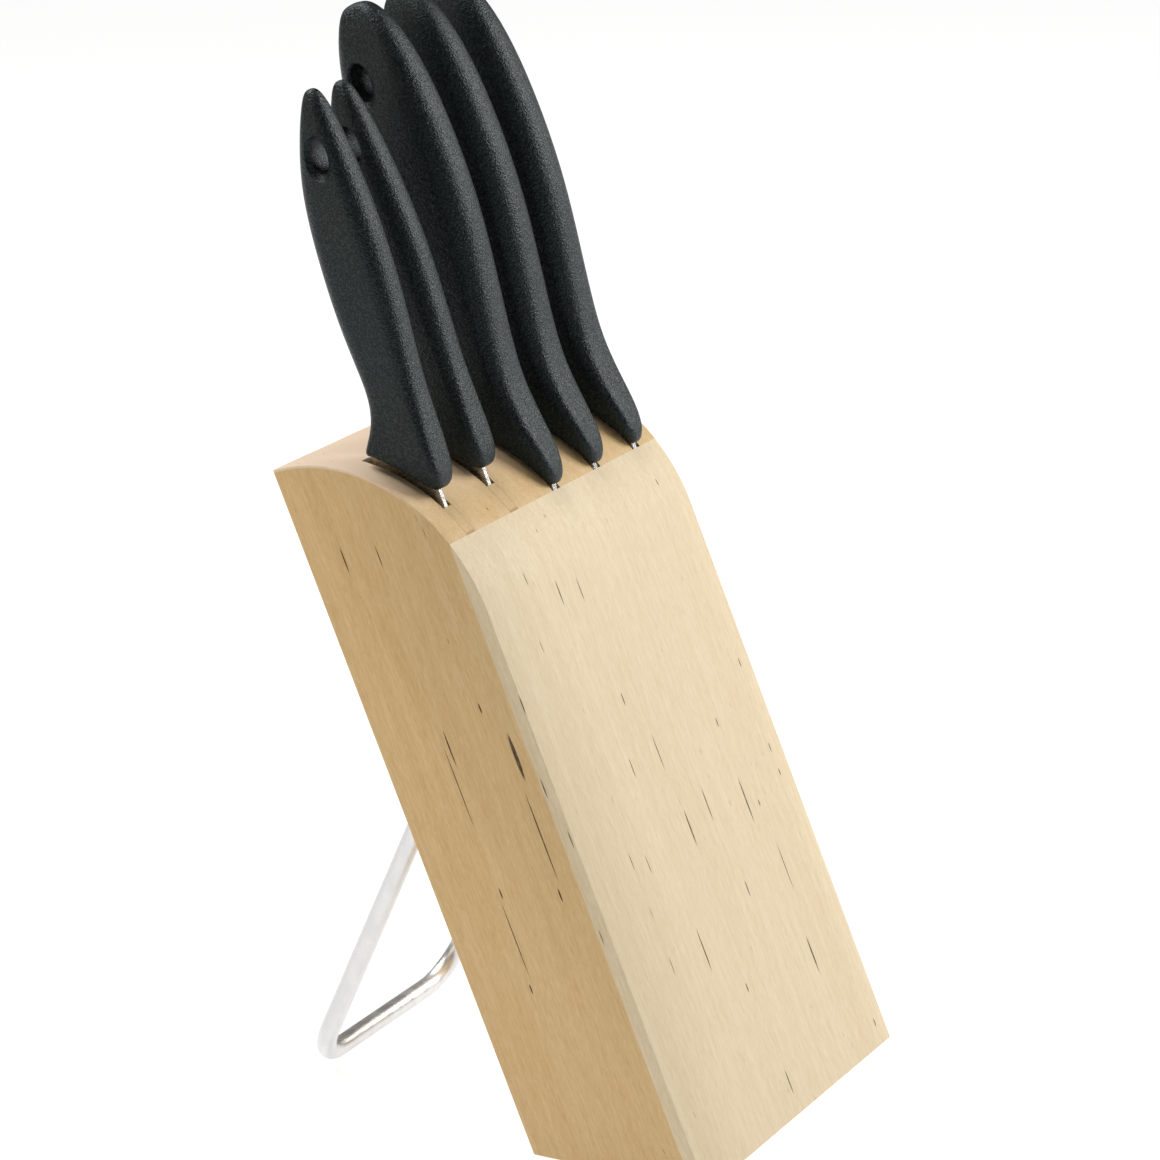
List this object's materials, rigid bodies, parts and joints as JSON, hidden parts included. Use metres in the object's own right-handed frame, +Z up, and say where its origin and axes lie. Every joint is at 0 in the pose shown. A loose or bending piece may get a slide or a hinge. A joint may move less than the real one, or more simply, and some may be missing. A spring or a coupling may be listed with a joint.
{
  "type": "knife block",
  "caption": "Leaning wooden knife block with a domed top and a bent-wire stand, holding small and large kitchen knives that lift out along slanted slots.",
  "frame": {"origin": "on the ground, under the middle of the whole object's box", "axes": "+X across the block, small knives on the -X side; -Y is the front face; +Z up. The block leans back towards +Y by 23.3 degrees."},
  "size_m": [0.13, 0.1548, 0.3243],
  "materials": {
    "birch_core": "fine-sanded birch, thin clear oil, grain along the slots",
    "birch_front": "fine-sanded birch, thin clear oil, grain along the slots",
    "birch_filler": "fine-sanded birch, end grain at the crown",
    "handle_plastic": "black moulded plastic with a fine spark texture",
    "blade_steel": "satin stainless steel, ground towards the edge",
    "stand_wire": "pale grey satin metal rod"
  },
  "bodies": {
    "block": {"core_stave_1": "birch_core", "core_stave_2": "birch_core", "core_stave_3": "birch_core", "core_stave_4": "birch_core", "core_stave_5": "birch_core", "front_stave_1": "birch_front", "front_stave_2": "birch_front", "front_stave_3": "birch_front", "filler_strip_1": "birch_filler", "filler_strip_2": "birch_filler", "wire_stand": "stand_wire"},
    "paring_knife": {"paring_blade": "blade_steel", "paring_handle": "handle_plastic"},
    "utility_knife": {"utility_blade": "blade_steel", "utility_handle": "handle_plastic"},
    "cooks_knife": {"cooks_blade": "blade_steel", "cooks_handle": "handle_plastic"},
    "carving_knife": {"carving_blade": "blade_steel", "carving_handle": "handle_plastic"},
    "bread_knife": {"bread_blade": "blade_steel", "bread_handle": "handle_plastic"}
  },
  "joints": [
    {"name": "paring_draw", "type": "slide", "parent": "block", "child": "paring_knife", "axis": [0, 0.3955, 0.9184], "range_m": [0, 0.125]},
    {"name": "utility_draw", "type": "slide", "parent": "block", "child": "utility_knife", "axis": [0, 0.3955, 0.9184], "range_m": [0, 0.14]},
    {"name": "cooks_draw", "type": "slide", "parent": "block", "child": "cooks_knife", "axis": [0, 0.3955, 0.9184], "range_m": [0, 0.225]},
    {"name": "carving_draw", "type": "slide", "parent": "block", "child": "carving_knife", "axis": [0, 0.3955, 0.9184], "range_m": [0, 0.23]},
    {"name": "bread_draw", "type": "slide", "parent": "block", "child": "bread_knife", "axis": [0, 0.3955, 0.9184], "range_m": [0, 0.232]}
  ]
}
